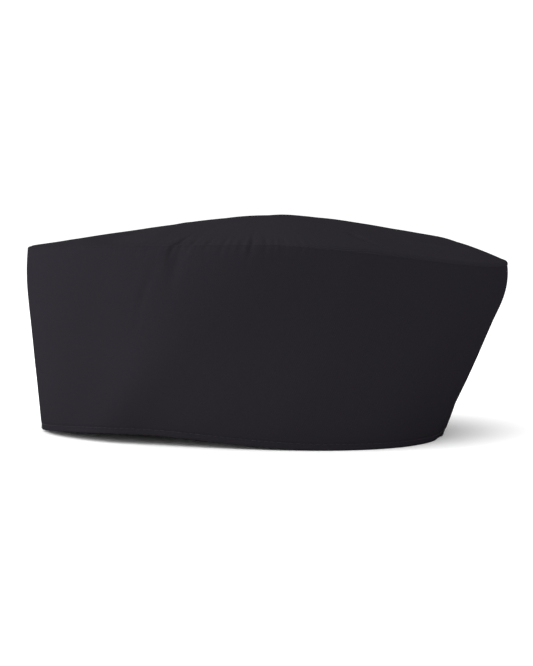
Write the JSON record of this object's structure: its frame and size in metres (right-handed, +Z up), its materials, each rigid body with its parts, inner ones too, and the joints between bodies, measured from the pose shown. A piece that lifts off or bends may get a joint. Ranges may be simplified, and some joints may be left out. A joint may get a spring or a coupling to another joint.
{
  "type": "chef skull cap",
  "caption": "Soft round chef's cap of twill: an upright side band that narrows to its hem at the back, and a low soft oval crown sewn in at the top.",
  "frame": {"origin": "under the middle of the cap, on the surface that the hem stands on", "axes": "+Z up, -Y towards the forehead, +X towards the wearer's left side"},
  "size_m": [0.1914, 0.2196, 0.0987],
  "materials": {
    "band_twill": "matt black poly-cotton twill with a faint sheen",
    "crown_twill": "matt black poly-cotton twill with a faint sheen"
  },
  "bodies": {
    "root": {"side_band": "band_twill", "crown": "crown_twill"}
  },
  "joints": []
}
